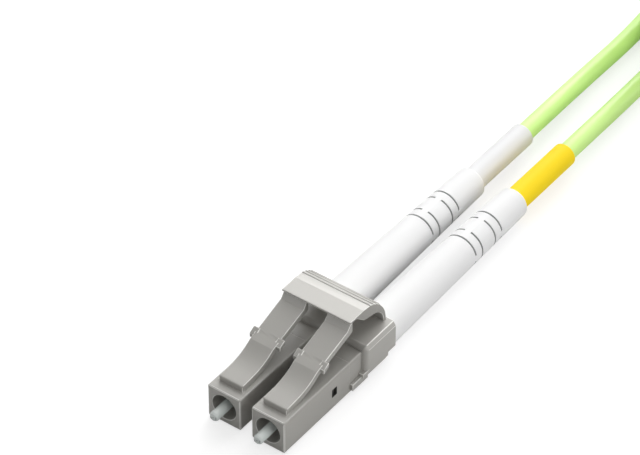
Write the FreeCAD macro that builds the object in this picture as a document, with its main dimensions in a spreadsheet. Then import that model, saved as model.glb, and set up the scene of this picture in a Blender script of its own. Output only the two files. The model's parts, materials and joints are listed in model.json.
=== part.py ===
import FreeCAD
import Part
import Sketcher
import math
import os

# LC duplex fibre connector on two simplex cords. Millimetres, +Z up, mating face towards -Y,
# cords leave towards +Y. Every body is drawn with y = 0 on the mating face, and those of one
# channel about its ferrule axis. Placements lift them to that axis's height above the floor and
# move them back, so that the document's origin lies under the middle of the connector.

doc = FreeCAD.newDocument("lc_duplex_connector")
SIDES = {"left": -1, "right": 1}
# flats of hexagonal pieces, and of round ones that are drawn with flats to keep them light
FLATS = 6
BOOT_FLATS = 36
CORD_FLATS = 12
# straight steps in one turn of a spring, and in one fold of the hank
COIL_STEPS = 10
FOLD_STEPS = 8
# how far a cutting profile runs past the face it opens
BEYOND = 0.5

# ---------------------------------------------------------------- driving dimensions
DIMENSIONS = {
    # standard interface
    "pitch": 6.25,
    "ferrule_dia": 1.25,
    "ferrule_reach": 2.04,
    "ferrule_len": 6.6,
    "ferrule_tip_step": 0.14,
    "ferrule_tip_len": 0.24,
    # front housing
    "body_width": 4.63,
    "body_height": 4.69,
    "front_len": 12.5,
    "body_round": 0.18,
    "floor_gap": 0.3,
    "recess_dia": 3.4,
    "recess_depth": 3.2,
    "bulkhead": 1.05,
    "guide_play": 0.035,
    "chamber_dia": 2.6,
    "socket_dia": 3.5,
    "socket_start": 8.4,
    "plug_play": 0.2,
    "window_start": 9.05,
    "window_len": 0.95,
    "window_height": 1.2,
    "snap_len": 0.45,
    "snap_span": 3.9,
    "snap_play": 0.05,
    # latch
    "latch_width": 3.3,
    "pedestal_start": 1.33,
    "pedestal_rise": 0.79,
    "pedestal_sink": 0.3,
    "latch_root_y": 3.55,
    "latch_root_rise": 0.5,
    "latch_root_rad": 0.43,
    "latch_slit": 0.1,
    "hinge_play": 0.02,
    "latch_crease_y": 7.1,
    "latch_crease_rise": 2.21,
    "latch_top_rad": 7.7,
    "latch_tip_y": 13.9,
    "latch_tip_rise": 4.06,
    "tab_rise": 0.7,
    "tab_thick": 0.4,
    "latch_thick": 0.95,
    "latch_under": 0.65,
    "crease_thick": 0.8,
    "crease_back": 0.25,
    "ear_span": 4.4,
    "ear_set_in": 0.35,
    "ear_start": 7.7,
    "ear_len": 0.95,
    "ear_ridge": 0.15,
    "ear_drop": 0.5,
    "ear_slope": 0.44,
    "ear_rise": 0.54,
    # rear body
    "block_end": 19.65,
    "neck_dia": 3.3,
    "neck_end": 26.3,
    "tube_dia": 0.9,
    "tube_bore": 0.6,
    "tube_end": 14.6,
    "tube_play": 0.1,
    "spring_seat": 10.4,
    "spring_dia": 1.95,
    "spring_wire": 0.24,
    "spring_turns": 6,
    "flange_len": 1.75,
    "flange_dia": 2.44,
    # crimp, boot, marker
    "crimp_start": 20.5,
    "crimp_dia": 4.2,
    "crimp_step": 26.9,
    "crimp_end": 33.5,
    "crimp_ring_dia": 3.0,
    "boot_tail": 49.3,
    "boot_tail_dia": 4.06,
    "boot_bevel": 0.225,
    "boot_step": 27.4,
    "slot_width": 0.26,
    "slot_depth": 0.4,
    "slot_angle": 158,
    "slot_first": 38.0,
    "slot_gap": 1.4,
    "slot_middle_gap": 2.75,
    "marker_start": 45.0,
    "marker_end": 60.3,
    "marker_dia": 3.1,
    # duplex clip
    "clip_width": 12.2,
    "clip_front": 14.75,
    "clip_rear": 20.6,
    "clip_cover": 0.76,
    "clip_height": 4.2,
    "clip_corner": 0.6,
    "clip_bevel": 0.34,
    "clip_bevel_drop": 0.54,
    "boot_play": 0.06,
    "foot_front": 14.2,
    "foot_height": 0.55,
    "foot_root": 1.0,
    "rear_step_start": 19.2,
    "rear_step_rise": 0.45,
    "hook_front": 12.5,
    "hook_end": 15.5,
    "hook_span": 11.74,
    "hook_drop": 0.85,
    "hook_overlap": 0.1,
    # trigger
    "trigger_width": 9.7,
    "trigger_root_y": 20.12,
    "trigger_root_rad": 0.22,
    "trigger_nose_y": 13.33,
    "trigger_arch": 4.49,
    "trigger_hollow": 2.52,
    "nose_thick": 0.34,
    "nose_len": 1.27,
    "nose_fall": 0.04,
    "nose_round": 0.1,
    "heel_y": 16.05,
    "heel_depth": 1.6,
    "ridge_height": 0.1,
    "ridge_count": 4,
    "ridge_share": 0.85,
    "ridge_top": 74,
    "ridge_end": 40,
    # cords
    "cord_dia": 2.4,
    "jacket_start": 30.5,
    "buffer_start": 15.7,
    "droop_start": 60,
    "touch_down": 75,
    "touch_left_x": -4.15,
    "touch_right_x": 2.25,
    "lay_end": 87,
    "lay_left_x": -3.95,
    "lay_right_x": 2.0,
    "bend_reach": 0.45,
    # hank of spare cord
    "hank_x": 4.7,
    "hank_y": 97.5,
    "hank_run": 48,
    "hank_inner": 7.2,
    "layers_left": 6,
    "layers_right": 7,
    "tie_width": 6,
    "tie_thick": 0.4,
}


class Size:
    """A length with its value and the expression that ties it to the sheet."""

    def __init__(self, value, text):
        self.value = value
        self.text = text

    def joined(self, other, sign, value):
        text = other.text if isinstance(other, Size) else repr(other)
        return Size(value, f"({self.text} {sign} {text})")

    def __add__(self, other):
        return self.joined(other, "+", self.value + number(other))

    def __sub__(self, other):
        return self.joined(other, "-", self.value - number(other))

    def __mul__(self, other):
        return self.joined(other, "*", self.value * number(other))

    def __truediv__(self, other):
        return self.joined(other, "/", self.value / number(other))

    def __neg__(self):
        return Size(-self.value, f"(-{self.text})")


def number(size):
    return size.value if isinstance(size, Size) else float(size)


def write_sheet():
    sheet = doc.addObject("Spreadsheet::Sheet", "Sheet")
    for row, (name, value) in enumerate(DIMENSIONS.items(), start=1):
        sheet.set(f"A{row}", name)
        sheet.set(f"B{row}", str(value))
        sheet.setAlias(f"B{row}", name)
    doc.recompute()
    return sheet


sheet = write_sheet()
S = {name: Size(float(sheet.get(name)), f"Sheet.{name}") for name in DIMENSIONS}

half_body = S["body_height"] / 2
axis_height = half_body + S["floor_gap"]
deck = half_body + S["clip_cover"]
cord_radius = S["cord_dia"] / 2
frame_centre = (S["marker_end"] - S["ferrule_reach"]) / 2


# ---------------------------------------------------------------- sketch and feature helpers
def bind(thing, path, size):
    """Keep a property bound to the sheet, or just set a plain number."""
    if isinstance(size, Size):
        thing.setExpression(path, size.text)
    else:
        setattr(thing, path, size)


def new_body(name, side=0, height=axis_height):
    body = doc.addObject("PartDesign::Body", name)
    body.Label = name
    if side:
        bind(body, "Placement.Base.x", S["pitch"] / 2 * side)
    bind(body, "Placement.Base.y", -frame_centre)
    bind(body, "Placement.Base.z", height)
    return body


def placed_feature(name, shape, side=0, height=0.0):
    """A swept shape as an object of its own, placed the way the bodies are."""
    feature = doc.addObject("Part::Feature", name)
    feature.Label = name
    feature.Shape = shape
    if side:
        bind(feature, "Placement.Base.x", S["pitch"] / 2 * side)
    bind(feature, "Placement.Base.y", -frame_centre)
    if isinstance(height, Size):
        bind(feature, "Placement.Base.z", height)
    return feature


def plane_of(body, role):
    return next(f for f in body.Origin.OriginFeatures if f.Role == role)


def new_sketch(body, name, plane="YZ_Plane", offset=0.0):
    """A sketch on an origin plane, moved along that plane's normal."""
    sketch = body.newObject("Sketcher::SketchObject", name)
    sketch.AttachmentSupport = [(plane_of(body, plane), "")]
    sketch.MapMode = "FlatFace"
    if isinstance(offset, Size):
        bind(sketch, "AttachmentOffset.Base.z", offset)
    return sketch


def hold(sketch, kind, where, size, label):
    """Add a driving constraint and bind it."""
    index = sketch.addConstraint(Sketcher.Constraint(kind, *where, number(size)))
    sketch.renameConstraint(index, label)
    if isinstance(size, Size):
        sketch.setExpression(f"Constraints.{label}", size.text)


def arc_between(start, end, radius, bulge):
    """The shorter arc that bulges to the right (1) or to the left (-1) of the way to its end,
    drawn counterclockwise as a sketch wants it."""
    chord = end - start
    sag = radius - math.sqrt(max(radius * radius - chord.Length ** 2 / 4, 0))
    across = FreeCAD.Vector(chord.y, -chord.x, 0).normalize() * (sag * bulge)
    middle = (start + end) / 2 + across
    return Part.Arc(start, middle, end) if bulge > 0 else Part.Arc(end, middle, start)


def outline(sketch, points, label="p"):
    """A closed outline of points (a, b). A point (a, b, radius, bulge) starts an arc."""
    first = sketch.GeometryCount
    spots = [FreeCAD.Vector(number(point[0]), number(point[1]), 0) for point in points]
    count = len(points)
    ends = []
    for k, point in enumerate(points):
        start, end = spots[k], spots[(k + 1) % count]
        if len(point) == 2:
            sketch.addGeometry(Part.LineSegment(start, end), False)
            ends.append((1, 2))
            continue
        shape = arc_between(start, end, number(point[2]), point[3])
        sketch.addGeometry(shape, False)
        ends.append((1, 2) if point[3] > 0 else (2, 1))
    for k in range(count):
        after = (k + 1) % count
        sketch.addConstraint(
            Sketcher.Constraint("Coincident", first + k, ends[k][1], first + after, ends[after][0])
        )
    for k, point in enumerate(points):
        hold(sketch, "DistanceX", (first + k, ends[k][0]), point[0], f"{label}{k}a")
        hold(sketch, "DistanceY", (first + k, ends[k][0]), point[1], f"{label}{k}b")
        if len(point) > 2:
            hold(sketch, "Radius", (first + k,), point[2], f"{label}{k}r")


def rectangle(sketch, a0, a1, b0, b1, label="r"):
    outline(sketch, [(a0, b0), (a1, b0), (a1, b1), (a0, b1)], label)


def regular(sketch, sides, corner):
    """A regular polygon about the sketch's origin, from its middle to its corners."""
    turns = [2 * math.pi * k / sides for k in range(sides)]
    outline(sketch, [(corner * math.cos(a), corner * math.sin(a)) for a in turns])


def ring_wire(centre, outward, across, radius, sides):
    """A closed regular polygon in space, spanned by two unit vectors at right angles."""
    turns = [2 * math.pi * k / sides for k in range(sides + 1)]
    corners = [centre + (outward * math.cos(a) + across * math.sin(a)) * radius for a in turns]
    return Part.makePolygon(corners)


def circle(sketch, a, b, radius, label="c"):
    centre = FreeCAD.Vector(number(a), number(b), 0)
    shape = Part.Circle(centre, FreeCAD.Vector(0, 0, 1), number(radius))
    index = sketch.addGeometry(shape, False)
    hold(sketch, "DistanceX", (index, 3), a, f"{label}a")
    hold(sketch, "DistanceY", (index, 3), b, f"{label}b")
    hold(sketch, "Radius", (index,), radius, f"{label}r")


def extrude(body, kind, name, sketch, length, midplane=False, reverse=False):
    """A Pad or a Pocket; each one has to change the volume."""
    before = body.Shape.Volume if body.Tip else 0.0
    feature = body.newObject(f"PartDesign::{kind}", name)
    feature.Profile = sketch
    bind(feature, "Length", length)
    feature.Midplane = midplane
    feature.Reversed = reverse
    return settled(body, feature, before)


def turn(body, kind, name, sketch, axis="H_Axis", angle=None):
    """A Revolution or a Groove about a sketch axis, whole or spread about the sketch plane."""
    before = body.Shape.Volume if body.Tip else 0.0
    feature = body.newObject(f"PartDesign::{kind}", name)
    feature.Profile = sketch
    feature.ReferenceAxis = (sketch, [axis])
    feature.Angle = 360.0
    if angle is not None:
        bind(feature, "Angle", angle)
        feature.Midplane = True
    return settled(body, feature, before)


def loft(body, name, sections):
    """A straight-sided AdditiveLoft through the sections in turn."""
    before = body.Shape.Volume if body.Tip else 0.0
    feature = body.newObject("PartDesign::AdditiveLoft", name)
    feature.Profile = sections[0]
    feature.Sections = sections[1:]
    feature.Ruled = True
    return settled(body, feature, before)


def mirror(body, name, features):
    """The same features on the other side of the middle plane."""
    before = body.Shape.Volume
    feature = body.newObject("PartDesign::Mirrored", name)
    feature.Originals = features
    feature.MirrorPlane = (plane_of(body, "YZ_Plane"), [""])
    body.Tip = feature
    return settled(body, feature, before)


def dress(body, kind, name, size, wanted):
    """A Fillet or a Chamfer on the edges of the tip that wanted() picks by their box."""
    base = body.Tip
    edges = [f"Edge{k}" for k, edge in enumerate(base.Shape.Edges, 1) if wanted(edge.BoundBox)]
    before = body.Shape.Volume
    feature = body.newObject(f"PartDesign::{kind}", name)
    feature.Base = (base, edges)
    bind(feature, "Radius" if kind == "Fillet" else "Size", size)
    return settled(body, feature, before)


def settled(body, feature, before):
    doc.recompute()
    if abs(body.Shape.Volume - before) < 1e-6:
        raise RuntimeError(f"{body.Label}: {feature.Name} changed nothing")
    return feature


def near(value, size, slack=0.01):
    return abs(value - number(size)) < slack


def flat_at(low, high, size):
    """Whether a box lies in the plane at this coordinate."""
    return near(low, size) and near(high, size)


# ---------------------------------------------------------------- one channel of the connector
half_width = S["body_width"] / 2
pedestal_top = half_body + S["pedestal_rise"]
root_height = half_body + S["latch_root_rise"]
rear_wall = S["clip_rear"] - S["block_end"]
bore_radius = S["tube_dia"] / 2 + S["tube_play"]
ferrule_radius = S["ferrule_dia"] / 2
flange_start = S["recess_depth"] + S["bulkhead"]
flange_end = flange_start + S["flange_len"]
crease_height = half_body + S["latch_crease_rise"]
crimp_outer = S["crimp_dia"] / 2
boot_bore = crimp_outer + S["boot_play"]


def make_housing(name, side):
    """Square front housing: a stepped bore from the mating face, and the latch's root on top."""
    body = new_body(name, side)
    block = new_sketch(body, f"{name}_section", "XZ_Plane")
    rectangle(block, -half_width, half_width, -half_body, half_body)
    extrude(body, "Pad", f"{name}_block", block, S["front_len"], reverse=True)

    def long_edge(box):
        return box.YLength > 5 and box.XLength < 0.1 and box.ZLength < 0.1

    dress(body, "Fillet", f"{name}_rounds", S["body_round"], long_edge)
    root = new_sketch(body, f"{name}_root_side")
    root_end = S["latch_root_y"] - S["latch_slit"]
    rectangle(root, S["pedestal_start"], root_end, half_body - S["pedestal_sink"], pedestal_top)
    extrude(body, "Pad", f"{name}_root", root, S["latch_width"], midplane=True)

    def front_top(box):
        return flat_at(box.YMin, box.YMax, S["pedestal_start"]) and near(box.ZMin, pedestal_top)

    dress(body, "Fillet", f"{name}_root_nose", S["body_round"], front_top)
    seat = new_sketch(body, f"{name}_hinge_side")
    circle(seat, S["latch_root_y"], root_height, S["latch_root_rad"] + S["hinge_play"])
    extrude(body, "Pocket", f"{name}_hinge_seat", seat, S["latch_width"] + BEYOND, midplane=True)
    bore = new_sketch(body, f"{name}_bore_side")
    chamber = S["chamber_dia"] / 2
    guide = ferrule_radius + S["guide_play"]
    outline(
        bore,
        [
            (-BEYOND, 0.0),
            (S["front_len"] + BEYOND, 0.0),
            (S["front_len"] + BEYOND, S["socket_dia"] / 2),
            (S["socket_start"], S["socket_dia"] / 2),
            (S["socket_start"], chamber),
            (flange_start, chamber),
            (flange_start, guide),
            (S["recess_depth"], guide),
            (S["recess_depth"], S["recess_dia"] / 2),
            (-BEYOND, S["recess_dia"] / 2),
        ],
    )
    turn(body, "Groove", f"{name}_bore", bore)
    window = new_sketch(body, f"{name}_window_side")
    window_end = S["window_start"] + S["window_len"]
    half_window = S["window_height"] / 2
    rectangle(window, S["window_start"], window_end, -half_window, half_window)
    extrude(body, "Pocket", f"{name}_windows", window, S["body_width"] + BEYOND, midplane=True)

    def mating_edge(box):
        outside = max(abs(box.XMin), abs(box.ZMin)) > number(S["recess_dia"]) / 2 + 0.1
        return flat_at(box.YMin, box.YMax, 0.0) and outside

    dress(body, "Chamfer", f"{name}_lead_in", S["body_round"] / 2, mating_edge)
    return body


def make_latch(name, side):
    """Cantilever latch: round root, curved arm, ramp with its two ears, and the upright tab."""
    body = new_body(name, side)
    arm = new_sketch(body, f"{name}_side")
    root_y, root_radius = S["latch_root_y"], S["latch_root_rad"]
    tip_height = half_body + S["latch_tip_rise"]
    tab_foot = S["latch_tip_y"] - S["latch_thick"]
    crease_back = S["latch_crease_y"] + S["crease_back"]
    outline(
        arm,
        [
            (root_y, root_height + root_radius, S["latch_top_rad"], 1),
            (S["latch_crease_y"], crease_height),
            (tab_foot, tip_height),
            (S["latch_tip_y"] - S["tab_thick"], tip_height + S["tab_rise"]),
            (S["latch_tip_y"], tip_height + S["tab_rise"]),
            (S["latch_tip_y"], tip_height - S["latch_under"]),
            (crease_back, crease_height - S["crease_thick"], S["latch_top_rad"], -1),
            (root_y, root_height - root_radius, root_radius, -1),
            (root_y - root_radius, root_height, root_radius, -1),
        ],
    )
    extrude(body, "Pad", f"{name}_arm", arm, S["latch_width"], midplane=True)
    ear_root = S["latch_width"] / 2 - S["ear_set_in"]
    ear = new_sketch(body, f"{name}_ear_side", offset=ear_root)
    ear_start, ear_end = S["ear_start"], S["ear_start"] + S["ear_len"]
    ear_top = crease_height + S["ear_rise"]
    outline(
        ear,
        [
            (ear_start, crease_height - S["ear_drop"]),
            (ear_end, crease_height),
            (ear_end, ear_top),
            (ear_end - S["ear_ridge"], ear_top),
            (ear_start, ear_top - S["ear_slope"]),
        ],
    )
    pad = extrude(body, "Pad", f"{name}_ear", ear, S["ear_span"] / 2 - ear_root)
    mirror(body, f"{name}_other_ear", [pad])
    return body


def make_ferrule(name, side):
    """Ceramic ferrule with its chamfered polished end."""
    body = new_body(name, side)
    profile = new_sketch(body, f"{name}_side")
    tip = -S["ferrule_reach"]
    outline(
        profile,
        [
            (tip, 0.0),
            (tip, ferrule_radius - S["ferrule_tip_step"]),
            (tip + S["ferrule_tip_len"], ferrule_radius),
            (tip + S["ferrule_len"], ferrule_radius),
            (tip + S["ferrule_len"], 0.0),
        ],
    )
    turn(body, "Revolution", f"{name}_turned", profile)
    return body


def make_flange(name, side):
    """Metal flange pressed on the ferrule: six flats, and a barrel that takes the inner tube."""
    body = new_body(name, side)
    collar = new_sketch(body, f"{name}_hexagon", "XZ_Plane", -flange_start)
    regular(collar, FLATS, S["flange_dia"] / 2)
    extrude(body, "Pad", f"{name}_collar", collar, S["flange_len"], reverse=True)
    socket = new_sketch(body, f"{name}_socket_side")
    ferrule_end = -S["ferrule_reach"] + S["ferrule_len"]
    outline(
        socket,
        [
            (flange_start - BEYOND, 0.0),
            (flange_end + BEYOND, 0.0),
            (flange_end + BEYOND, S["tube_dia"] / 2),
            (ferrule_end, S["tube_dia"] / 2),
            (ferrule_end, ferrule_radius),
            (flange_start - BEYOND, ferrule_radius),
        ],
    )
    turn(body, "Groove", f"{name}_socket", socket)
    return body


def make_ring(name, side, start, end, outer, inner):
    """A plain round tube between two stations."""
    body = new_body(name, side)
    profile = new_sketch(body, f"{name}_side")
    rectangle(profile, start, end, inner, outer)
    turn(body, "Revolution", f"{name}_turned", profile)
    return body


def make_inner_tube(name, side):
    """Guide tube that the flange carries through the spring into the rear body."""
    start = S["ferrule_len"] - S["ferrule_reach"]
    return make_ring(name, side, start, S["tube_end"], S["tube_dia"] / 2, S["tube_bore"] / 2)


def make_spring(name, side):
    """Compression spring between the flange and the rear body, its round wire drawn six-sided
    and each turn in straight steps."""
    wire_radius = number(S["spring_wire"] / 2)
    mean_radius = number(S["spring_dia"] / 2) - wire_radius
    start = number(flange_end) + wire_radius
    steps = int(number(S["spring_turns"])) * COIL_STEPS
    climb = (number(S["spring_seat"]) - wire_radius - start) / steps
    spots = []
    for k in range(steps + 1):
        angle = 2 * math.pi * k / COIL_STEPS
        x, z = mean_radius * math.cos(angle), mean_radius * math.sin(angle)
        spots.append(FreeCAD.Vector(x, start + climb * k, z))
    path = Part.makePolygon(spots)
    along = spots[1] - spots[0]
    across = along.cross(FreeCAD.Vector(1, 0, 0)).normalize()
    outward = across.cross(along).normalize()
    section = ring_wire(spots[0], outward, across, wire_radius, FLATS)
    corner_joins = 1
    coil = path.makePipeShell([section], True, False, corner_joins)
    return placed_feature(name, coil, side, axis_height)


def make_rear_body(name, side):
    """Rear body: a plug that snaps into the windows, the square block and the crimp neck."""
    body = new_body(name, side)
    block = new_sketch(body, f"{name}_section", "XZ_Plane", -S["front_len"])
    rectangle(block, -half_width, half_width, -half_body, half_body)
    block_len = S["block_end"] - S["front_len"]
    extrude(body, "Pad", f"{name}_block", block, block_len, reverse=True)

    def long_edge(box):
        return box.YLength > 5 and box.XLength < 0.1 and box.ZLength < 0.1

    dress(body, "Fillet", f"{name}_rounds", S["body_round"], long_edge)
    stem = new_sketch(body, f"{name}_stem_side")
    plug_start = S["socket_start"] + S["plug_play"]
    plug_radius = S["socket_dia"] / 2
    outline(
        stem,
        [
            (plug_start, 0.0),
            (plug_start, plug_radius),
            (S["front_len"] + BEYOND, plug_radius),
            (S["block_end"] - BEYOND, S["neck_dia"] / 2),
            (S["neck_end"], S["neck_dia"] / 2),
            (S["neck_end"], 0.0),
        ],
    )
    turn(body, "Revolution", f"{name}_stem", stem)
    snap = new_sketch(body, f"{name}_snap_side")
    snap_end = S["window_start"] + S["window_len"] - S["snap_play"]
    half_snap = S["window_height"] / 2 - S["snap_play"]
    rectangle(snap, snap_end - S["snap_len"], snap_end, -half_snap, half_snap)
    extrude(body, "Pad", f"{name}_snaps", snap, S["snap_span"], midplane=True)
    bore = new_sketch(body, f"{name}_bore_side")
    seat_radius = S["spring_dia"] / 2 + S["tube_play"]
    outline(
        bore,
        [
            (plug_start - BEYOND, 0.0),
            (S["neck_end"] + BEYOND, 0.0),
            (S["neck_end"] + BEYOND, bore_radius),
            (S["spring_seat"], bore_radius),
            (S["spring_seat"], seat_radius),
            (plug_start - BEYOND, seat_radius),
        ],
    )
    turn(body, "Groove", f"{name}_bore", bore)
    return body


def make_crimp(name, side):
    """Stepped metal sleeve pressed to six flats: wide over the neck, narrow on the jacket."""
    body = new_body(name, side)
    wide = new_sketch(body, f"{name}_wide_section", "XZ_Plane", -S["crimp_start"])
    regular(wide, FLATS, crimp_outer)
    extrude(body, "Pad", f"{name}_wide", wide, S["crimp_step"] - S["crimp_start"], reverse=True)
    narrow = new_sketch(body, f"{name}_narrow_section", "XZ_Plane", -S["crimp_step"])
    regular(narrow, FLATS, S["crimp_ring_dia"] / 2)
    extrude(body, "Pad", f"{name}_narrow", narrow, S["crimp_end"] - S["crimp_step"], reverse=True)
    bore = new_sketch(body, f"{name}_bore_side")
    outline(
        bore,
        [
            (S["crimp_start"] - BEYOND, 0.0),
            (S["crimp_end"] + BEYOND, 0.0),
            (S["crimp_end"] + BEYOND, cord_radius),
            (S["neck_end"], cord_radius),
            (S["neck_end"], S["neck_dia"] / 2),
            (S["crimp_start"] - BEYOND, S["neck_dia"] / 2),
        ],
    )
    turn(body, "Groove", f"{name}_bore", bore)
    return body


def boot_radius(station):
    """The boot's outer radius at a station between its wide end and its tail."""
    tail = S["boot_tail_dia"] / 2
    lean = (S["boot_tail"] - station) / (S["boot_tail"] - S["block_end"])
    return tail + (axis_height - tail) * lean


def slot_rings(body, name, plane, stations):
    """Pairs of curved slots across the boot, one either side of the sketch plane's axis."""
    cuts = new_sketch(body, f"{name}_{plane[:2].lower()}_slots", plane)
    half = S["slot_width"] / 2
    for k, station in enumerate(stations):
        surface = boot_radius(station)
        for sign, far in ((1, "t"), (-1, "b")):
            edges = (surface - S["slot_depth"], surface + S["slot_depth"])
            low, high = edges if sign > 0 else (-edges[1], -edges[0])
            span = (station - half, station + half)
            if plane == "YZ_Plane":
                rectangle(cuts, *span, low, high, f"{far}{k}_")
            else:
                rectangle(cuts, low, high, *span, f"{far}{k}_")
    axis = "H_Axis" if plane == "YZ_Plane" else "V_Axis"
    turn(body, "Groove", f"{name}_{plane[:2].lower()}_rings", cuts, axis, S["slot_angle"])


def make_boot(name, side):
    """Tapered bend-relief boot with a stepped bore and four rings of slots near its tail."""
    body = new_body(name, side)
    tail_radius = S["boot_tail_dia"] / 2
    stations = [
        (S["block_end"], axis_height),
        (S["boot_tail"] - S["boot_bevel"], tail_radius),
        (S["boot_tail"], tail_radius - S["boot_bevel"]),
    ]
    sections = []
    for k, (station, radius) in enumerate(stations):
        sections.append(new_sketch(body, f"{name}_section_{k}", "XZ_Plane", -station))
        regular(sections[-1], BOOT_FLATS, radius)
    loft(body, f"{name}_taper", sections)
    bore = new_sketch(body, f"{name}_bore_side")
    outline(
        bore,
        [
            (S["block_end"] - BEYOND, 0.0),
            (S["boot_tail"] + BEYOND, 0.0),
            (S["boot_tail"] + BEYOND, S["marker_dia"] / 2),
            (S["boot_step"], S["marker_dia"] / 2),
            (S["boot_step"], boot_bore),
            (S["block_end"] - BEYOND, boot_bore),
        ],
    )
    turn(body, "Groove", f"{name}_bore", bore)
    first = S["slot_first"]
    second = first + S["slot_gap"]
    third = second + S["slot_middle_gap"]
    slot_rings(body, name, "YZ_Plane", [first, third + S["slot_gap"]])
    slot_rings(body, name, "XY_Plane", [second, third])
    return body


def make_marker(name, side):
    """Coloured sleeve on the cord, tucked into the boot's tail."""
    return make_ring(name, side, S["marker_start"], S["marker_end"], S["marker_dia"] / 2, cord_radius)


def make_buffer(name, side):
    """Tight-buffered fibre from the guide tube to where the jacket starts."""
    body = new_body(name, side)
    profile = new_sketch(body, f"{name}_side")
    rectangle(profile, S["buffer_start"], S["jacket_start"], 0.0, S["tube_dia"] / 2)
    turn(body, "Revolution", f"{name}_turned", profile)
    return body


# ---------------------------------------------------------------- duplex clip and trigger
half_clip = S["clip_width"] / 2
skirt = deck - S["clip_height"]
pivot_y = S["trigger_root_y"]


def clip_prism(body, kind, name, front, depth, x0, x1, z0, z1):
    """A block of the clip's section, from a station towards the rear."""
    section = new_sketch(body, f"{name}_section", "XZ_Plane", -front)
    rectangle(section, x0, x1, z0, z1)
    return extrude(body, kind, name, section, depth, reverse=kind == "Pad")


def make_clip(name):
    """Saddle over both rear bodies, with boot cut-outs, feet, side hooks and the hinge seat."""
    body = new_body(name)
    front, rear = S["clip_front"], S["clip_rear"]
    bevel, bevel_drop = S["clip_bevel"], S["clip_bevel_drop"]
    section = new_sketch(body, "clip_saddle_section", "XZ_Plane", -front)
    outline(
        section,
        [
            (-half_clip, skirt),
            (half_clip, skirt),
            (half_clip, deck - bevel_drop),
            (half_clip - bevel, deck),
            (-half_clip + bevel, deck),
            (-half_clip, deck - bevel_drop),
        ],
    )
    extrude(body, "Pad", "clip_saddle", section, rear - front, reverse=True)

    def front_rim(box):
        return flat_at(box.YMin, box.YMax, front) and box.ZMax > number(skirt) + 0.1

    dress(body, "Fillet", "clip_front_round", S["clip_corner"], front_rim)
    centre = S["pitch"] / 2
    inner, outer = centre - half_width, centre + half_width
    room = new_sketch(body, "clip_channels_section", "XZ_Plane", -front)
    rectangle(room, inner, outer, skirt - BEYOND, half_body, "a")
    rectangle(room, -outer, -inner, skirt - BEYOND, half_body, "b")
    extrude(body, "Pocket", "clip_channels", room, S["block_end"] - front)
    bays = new_sketch(body, "clip_bays_section", "XZ_Plane", -S["block_end"])
    bay = axis_height + S["boot_play"]
    for label, middle in (("a", centre), ("b", -centre)):
        outline(
            bays,
            [
                (middle - bay, skirt - BEYOND),
                (middle + bay, skirt - BEYOND),
                (middle + bay, 0.0, bay, 1),
                (middle, bay, bay, 1),
                (middle - bay, 0.0),
            ],
            label,
        )
    extrude(body, "Pocket", "clip_boot_bays", bays, rear_wall + BEYOND)
    step_top = skirt + S["rear_step_rise"]
    step_start = S["rear_step_start"]
    clip_prism(
        body, "Pocket", "clip_rear_step", step_start, rear - step_start + BEYOND,
        -half_clip - BEYOND, half_clip + BEYOND, skirt - BEYOND, step_top
    )
    foot_len = front + S["foot_root"] - S["foot_front"]
    foot_top = skirt + S["foot_height"]
    foot = clip_prism(
        body, "Pad", "clip_foot", S["foot_front"], foot_len, outer, half_clip, skirt, foot_top
    )
    hook_top = skirt + S["hook_overlap"]
    hook_len = S["hook_end"] - S["hook_front"]
    hook_low = skirt - S["hook_drop"]
    hook = clip_prism(
        body, "Pad", "clip_hook", S["hook_front"], hook_len, outer, S["hook_span"] / 2, hook_low, hook_top
    )
    mirror(body, "clip_other_side", [foot, hook])
    seat = new_sketch(body, "clip_hinge_side")
    circle(seat, pivot_y, deck, S["trigger_root_rad"] + S["hinge_play"])
    seat_width = S["trigger_width"] + S["hinge_play"] * 2
    extrude(body, "Pocket", "clip_hinge_seat", seat, seat_width, midplane=True)
    return body


def trigger_ridges():
    """Points of the arch, from the ridges' lower end over to the flat top: each ridge starts
    with a small step and leans back to the arch."""
    centre_y = pivot_y + S["trigger_root_rad"] - S["trigger_arch"]
    count = int(number(S["ridge_count"]))
    step = number(S["ridge_top"] - S["ridge_end"]) / count
    proud = S["trigger_arch"] + S["ridge_height"]
    spots = []
    for k in range(count):
        low = number(S["ridge_end"]) + step * k
        spots += [(S["trigger_arch"], low), (proud, low + step * number(S["ridge_share"]))]
    spots += [(S["trigger_arch"], number(S["ridge_top"])), (S["trigger_arch"], 90.0)]
    points = []
    for radius, degrees in spots:
        angle = math.radians(degrees)
        points.append((centre_y + radius * math.cos(angle), deck + radius * math.sin(angle)))
    return points


def make_trigger(name):
    """Hooked lever across both latches: thin foot, ridged arch, heel and thin nose."""
    body = new_body(name)
    side = new_sketch(body, "trigger_side")
    root, hollow = S["trigger_root_rad"], S["trigger_hollow"]
    nose_y = S["trigger_nose_y"]
    top = deck + S["trigger_arch"]
    inner_foot = pivot_y - root
    hollow_y = inner_foot - hollow
    outline(
        side,
        [(pivot_y + root, deck, S["trigger_arch"], 1)]
        + trigger_ridges()
        + [
            (nose_y, top - S["nose_fall"]),
            (nose_y, top - S["nose_thick"]),
            (nose_y + S["nose_len"], top - S["nose_thick"]),
            (S["heel_y"], top - S["heel_depth"]),
            (hollow_y, deck + hollow, hollow, -1),
            (inner_foot, deck, root, 1),
            (pivot_y, deck - root, root, 1),
        ],
    )
    extrude(body, "Pad", "trigger_lever", side, S["trigger_width"], midplane=True)

    def nose_edge(box):
        return box.XLength > 5 and near(box.YMin, nose_y)

    dress(body, "Fillet", "trigger_nose", S["nose_round"], nose_edge)
    return body


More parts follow.
